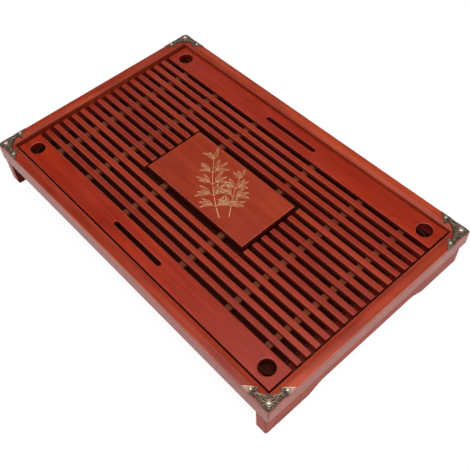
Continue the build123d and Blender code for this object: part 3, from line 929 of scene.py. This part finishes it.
CAMERA_PLACE = (0.37557, -0.29386, 0.60405)
CAMERA_TURN = (0.640002, 0.040095, 0.833772)
CAMERA_SHIFT = (0.00872, 0.0002)
CAMERA_RANGE = (0.01, 20.0)
SENSOR_WIDTH = 36.0
FLOOR_SEEN_SHARE = 0.85
FLOOR_MIRRORED_SHARE = 0.1
FLOOR_WHITE = 1.06

# Heights in the sky, and strengths there, between which its ring ends and its crown starts
SKY_RING = (0.1, 0.5, 0.8, 0.0)
SKY_CROWN = (0.85, 0.93, 0.0, 2.2)

# Name, place, width, property that gives the power, and share of it
LAMPS = (
    ("overhead_softbox", (0.55, -0.45, 1.7), 1.5, "key_power", 1.0),
    ("left_softbox", (-1.2, -1.4, 0.9), 1.2, "fill_power", 1.0),
    ("right_softbox", (1.5, 1.0, 0.9), 1.2, "fill_power", 1.0),
    ("back_softbox", (-1.3, 1.2, 0.45), 1.0, "fill_power", 0.5),
)


def build_floor(stage):
    """A plain floor, nearly white to the camera, that keeps the tray's shadow."""
    half = stage.floor_size / 2
    mesh = bpy.data.meshes.new("studio_floor")
    corners = [(-half, -half, 0), (half, -half, 0), (half, half, 0), (-half, half, 0)]
    mesh.from_pydata(corners, [], [(0, 1, 2, 3)])
    floor = new_object("studio_floor", mesh)
    paint, tree, shader = new_finish("studio_floor_paint")
    mesh.materials.append(paint)
    pale = tuple(stage.floor_colour)
    speckle = noise(tree, object_place(tree), 40.0, 3.0)
    feed(tree, shader, {
        "Base Color": blend_colour(tree, speckle, pale, scaled(pale, 0.98)),
        "Roughness": 0.8,
        "Specular IOR Level": 0.1,
    })
    rays = node(tree, "ShaderNodeLightPath").outputs
    mirrored = larger(tree, rays["Is Glossy Ray"], rays["Is Transmission Ray"])
    seen = times(tree, rays["Is Camera Ray"], FLOOR_SEEN_SHARE)
    white_share = math_node(tree, "ADD", seen, times(tree, mirrored, FLOOR_MIRRORED_SHARE))
    white = node(tree, "ShaderNodeEmission", {"Color": (1, 1, 1, 1), "Strength": FLOOR_WHITE}).outputs[0]
    shown = node(tree, "ShaderNodeMixShader", {0: white_share, 1: shader.outputs[0], 2: white}).outputs[0]
    feed(tree, tree.nodes["Material Output"], {"Surface": shown})


def build_sky(stage):
    """Plain light from all round, white to the camera, with a pale ring and a bright crown to mirror."""
    world = bpy.data.worlds.new("studio_sky")
    bpy.context.scene.world = world
    world.use_nodes = True
    sky = world.node_tree
    rays = node(sky, "ShaderNodeLightPath").outputs
    mirrored = larger(sky, rays["Is Glossy Ray"], rays["Is Transmission Ray"])
    up = axes_of(sky, node(sky, "ShaderNodeTexCoord").outputs["Generated"])[2]
    softbox = math_node(sky, "ADD", remap(sky, up, *SKY_RING), remap(sky, up, *SKY_CROWN))
    strength = blend_value(sky, mirrored, stage.sky_strength, softbox)
    strength = blend_value(sky, rays["Is Camera Ray"], strength, 1.0)
    feed(sky, sky.nodes["Background"], {"Color": (1, 1, 1, 1), "Strength": strength})


def place_lamps(stage):
    """Round soft lamps that look at the tray's middle."""
    for name, place, size, power, share in LAMPS:
        lamp = bpy.data.lights.new(name, "AREA")
        lamp.shape = "DISK"
        lamp.size = size
        lamp.energy = getattr(stage, power) * share
        holder = new_object(name, lamp)
        holder.location = place
        holder.rotation_euler = (-Vector(place)).to_track_quat("-Z", "Y").to_euler()


def place_camera(stage):
    """The camera, above the front right corner of the tray."""
    lens = bpy.data.cameras.new("tray_camera")
    lens.lens = stage.focal_length
    lens.sensor_width = SENSOR_WIDTH
    lens.shift_x, lens.shift_y = CAMERA_SHIFT
    lens.clip_start, lens.clip_end = CAMERA_RANGE
    camera = new_object("tray_camera", lens)
    camera.location = CAMERA_PLACE
    camera.rotation_euler = CAMERA_TURN
    bpy.context.scene.camera = camera


# Operators

SLAT_PITCH = 12 * MM

# Name, run and seed of the grain, depth of tone, contrast, and where its inner face looks and how much
# painted shade it gets
RAILS = (
    ("front_rail", ALONG_X, 3.0, 0.80, 1.1, (0.0, 1.0, 0.4)),
    ("back_rail", ALONG_X, 41.0, 1.08, 1.0, (0.0, -1.0, 0.1)),
    ("left_rail", ALONG_Y, 17.0, 0.97, 1.1, (1.0, 0.0, 0.4)),
    ("right_rail", ALONG_Y, 58.0, 1.08, 0.6, (-1.0, 0.0, 0.4)),
)
# Each foot rail with where its inner face looks and its share of painted shade
FOOT_RAILS = (("left_foot_rail", (1.0, 0.0, 0.9)), ("right_foot_rail", (-1.0, 0.0, 0.9)))


class TRAY_OT_finishes(bpy.types.Operator):
    """Build the shader groups that the tray's finishes share"""

    bl_idname = "tray.build_finishes"
    bl_label = "Build Finishes"

    def execute(self, context):
        build_wood_grain()
        build_edge_wear()
        build_handling()
        return {"FINISHED"}


class TRAY_OT_frame_wood(bpy.types.Operator):
    """Lacquer the frame's rails, ledges and foot rails"""

    bl_idname = "tray.lacquer_frame"
    bl_label = "Lacquer Frame"

    def execute(self, context):
        wood = context.scene.tray_wood
        tones = tones_of("rail")
        # The rails get painted shade on their inner faces and a painted pale reflection on their rounded
        # outer edges
        for name, run, seed, depth, contrast, inner in RAILS:
            shares = (0.5 + depth / 2, depth, depth)
            own = [tuple(channel * share for channel, share in zip(tone, shares)) for tone in tones]
            lacquer = lacquered_wood(
                name + "_lacquer", own, run, seed, contrast,
                rim=0.85, rounded=tuple(wood.rounding_highlight_colour), inner=inner,
            )
            dress([name], lacquer)
        # The foot rails get painted shade on their inner faces and painted shadow lines along their sole and
        # under the frame
        for name, inner in FOOT_RAILS:
            lacquer = lacquered_wood(
                name + "_lacquer", tones, ALONG_Y, 29.0,
                contrast=0.7, gloss=MATTE, rim=0.2, inner=inner, sole_and_frame_shade=0.75,
            )
            dress([name], lacquer)
        # The ledges are painted dark for the shade under the lid
        dark = tuple(wood.recess_shade_colour)
        deep = (dark, scaled(dark, 0.6), scaled(dark, 1.5))
        for names, label, run, seed in (
            (["front_ledge", "back_ledge"], "long_ledge_lacquer", ALONG_X, 71.0),
            (["left_ledge", "right_ledge"], "short_ledge_lacquer", ALONG_Y, 83.0),
        ):
            dress(names, lacquered_wood(label, deep, run, seed, gloss=MATTE, rim=0.0))
        return {"FINISHED"}


class TRAY_OT_lid_wood(bpy.types.Operator):
    """Lacquer the lid's boards and slats, and oil its battens"""

    bl_idname = "tray.lacquer_lid"
    bl_label = "Lacquer Lid"

    def execute(self, context):
        wood = context.scene.tray_wood
        # Boards and slats get painted shade on their upright faces and a painted highlight on their rounded
        # edges
        for side, seed in (("front", 5.0), ("back", 23.0)):
            lacquer = lacquered_wood(
                side + "_board_lacquer", tones_of("board"), ALONG_X, seed,
                contrast=1.2, painted_side_shade=0.8, rim=0.15,
            )
            dress([side + "_lid_board"], lacquer)
        slats = [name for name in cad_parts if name.startswith("slat_")]
        lacquer = lacquered_wood(
            "slat_lacquer", tones_of("slat"), ALONG_X, 31.0,
            row_pitch=SLAT_PITCH, painted_side_shade=0.45, rim=0.25,
        )
        dress(slats, lacquer)
        battens = [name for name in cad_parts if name.startswith("batten_") and name != "batten_screws"]
        dress(battens, plain_wood("batten_oil", tuple(wood.batten_colour), ALONG_Y, 47.0))
        return {"FINISHED"}


class TRAY_OT_plaque(bpy.types.Operator):
    """Lacquer the plaque"""

    bl_idname = "tray.lacquer_plaque"
    bl_label = "Lacquer Plaque"

    def execute(self, context):
        # Painted shade on the plaque's upright sides and a faint painted highlight on its rounded edges
        lacquer = lacquered_wood(
            "plaque_lacquer", tones_of("plaque"), ALONG_X, 91.0, painted_side_shade=0.98, rim=0.1,
        )
        dress(["plaque"], lacquer)
        return {"FINISHED"}


class TRAY_OT_under_parts(bpy.types.Operator):
    """Finish the bottom panel, the water tray, its drain and the screws"""

    bl_idname = "tray.finish_under_parts"
    bl_label = "Finish Under Parts"

    def execute(self, context):
        under = context.scene.tray_under_parts
        plywood = plain_wood("panel_plywood", tuple(context.scene.tray_wood.panel_colour), ALONG_X, 61.0, 0.6)
        dress(["bottom_panel"], plywood)
        plastic = moulded("water_tray_plastic", tuple(under.plastic_colour), 0.65, 0.85, 700.0)
        dress(["water_tray", "drain_fitting", "drain_nut"], plastic)
        dress(["drain_washer"], moulded("washer_rubber", tuple(under.rubber_colour), 0.7, 0.9, 1500.0))
        steel = polished_metal("screw_steel", tuple(under.steel_colour), 0.25, 0.45, 900.0)
        dress(["panel_screws", "foot_screws", "batten_screws"], steel)
        return {"FINISHED"}


class TRAY_OT_corner_plates(bpy.types.Operator):
    """Cast the four bronze corner plates and polish their tacks"""

    bl_idname = "tray.cast_corner_plates"
    bl_label = "Cast Corner Plates"

    def execute(self, context):
        metal = aged_bronze("corner_bronze")
        low, high = (Vector(corner) for corner in CAD_BOX)
        for side_y, y in (("front", low.y), ("back", high.y)):
            for side_x, x in (("left", low.x), ("right", high.x)):
                build_corner_plate(f"{side_y}_{side_x}_corner_plate", x, y, metal)
        brass = tuple(context.scene.tray_bronze.tack_colour)
        dress(["corner_tacks"], polished_metal("tack_brass", brass, 0.3, 0.45, 1200.0))
        return {"FINISHED"}


class TRAY_OT_carving(bpy.types.Operator):
    """Carve two bamboo sprigs in the plaque"""

    bl_idname = "tray.carve_sprigs"
    bl_label = "Carve Sprigs"

    def execute(self, context):
        carving = context.scene.tray_carving
        chance = random.Random(carving.seed)
        lo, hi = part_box("plaque")
        base = hi.z - LINE_SINK
        bm = bmesh.new()
        for bends, scale, joints in STEMS:
            path = stem_path(bends, (lo + hi) / 2)
            carve_stem(bm, path, joints, carving.stem_width * scale, base)
            for place in (*joints, STEM_STEPS):
                here, before = path[place], path[place - 1]
                along = math.atan2(here[1] - before[1], here[0] - before[0])
                for side in ((1, -1) if place < STEM_STEPS else (0.2,)):
                    carve_twig(bm, chance, here, along, side, scale, base)
        mesh = bpy.data.meshes.new("carved_sprigs")
        bm.to_mesh(mesh)
        bm.free()
        new_piece("carved_sprigs", mesh, carved_fill("carved_fill"), "lid")
        return {"FINISHED"}


class TRAY_OT_stage(bpy.types.Operator):
    """Set the floor, the soft lamps and the camera"""

    bl_idname = "tray.set_stage"
    bl_label = "Set Stage"

    def execute(self, context):
        scene = context.scene
        scene.view_settings.view_transform = "Standard"
        build_floor(scene.tray_stage)
        build_sky(scene.tray_stage)
        place_lamps(scene.tray_stage)
        place_camera(scene.tray_stage)
        return {"FINISHED"}


class TRAY_PT_panel(bpy.types.Panel):
    """Sizes, colours and building steps of the tea tray"""

    bl_idname = "TRAY_PT_panel"
    bl_label = "Tea Tray"
    bl_space_type = "VIEW_3D"
    bl_region_type = "UI"
    bl_category = "Tea Tray"

    def draw(self, context):
        layout = self.layout
        for attribute, (label, group) in GROUPS.items():
            box = layout.box()
            box.label(text=label)
            for name in group.__annotations__:
                box.prop(getattr(context.scene, attribute), name)
        for operator in OPERATORS:
            layout.operator(operator.bl_idname)


GROUPS = {
    "tray_wood": ("Wood", TrayWood),
    "tray_under_parts": ("Under Parts", TrayUnderParts),
    "tray_bronze": ("Bronze", TrayBronze),
    "tray_carving": ("Carving", TrayCarving),
    "tray_stage": ("Stage", TrayStage),
}
OPERATORS = (
    TRAY_OT_finishes,
    TRAY_OT_frame_wood,
    TRAY_OT_lid_wood,
    TRAY_OT_plaque,
    TRAY_OT_under_parts,
    TRAY_OT_corner_plates,
    TRAY_OT_carving,
    TRAY_OT_stage,
)


def register():
    """Makes the tray's properties, operators and panel known to Blender."""
    for name, (_, group) in GROUPS.items():
        bpy.utils.register_class(group)
        setattr(bpy.types.Scene, name, PointerProperty(type=group))
    for made in (*OPERATORS, TRAY_PT_panel):
        bpy.utils.register_class(made)


def unregister():
    """Takes them away again."""
    for made in reversed((*OPERATORS, TRAY_PT_panel)):
        bpy.utils.unregister_class(made)
    for name, (_, group) in reversed(GROUPS.items()):
        delattr(bpy.types.Scene, name)
        bpy.utils.unregister_class(group)


def main():
    """Builds the whole tray and its stage."""
    register()
    bpy.ops.tray.build_finishes()
    bpy.ops.tray.lacquer_frame()
    bpy.ops.tray.lacquer_lid()
    bpy.ops.tray.lacquer_plaque()
    bpy.ops.tray.finish_under_parts()
    bpy.ops.tray.cast_corner_plates()
    bpy.ops.tray.carve_sprigs()
    bpy.ops.tray.set_stage()


if __name__ == "__main__":
    main()
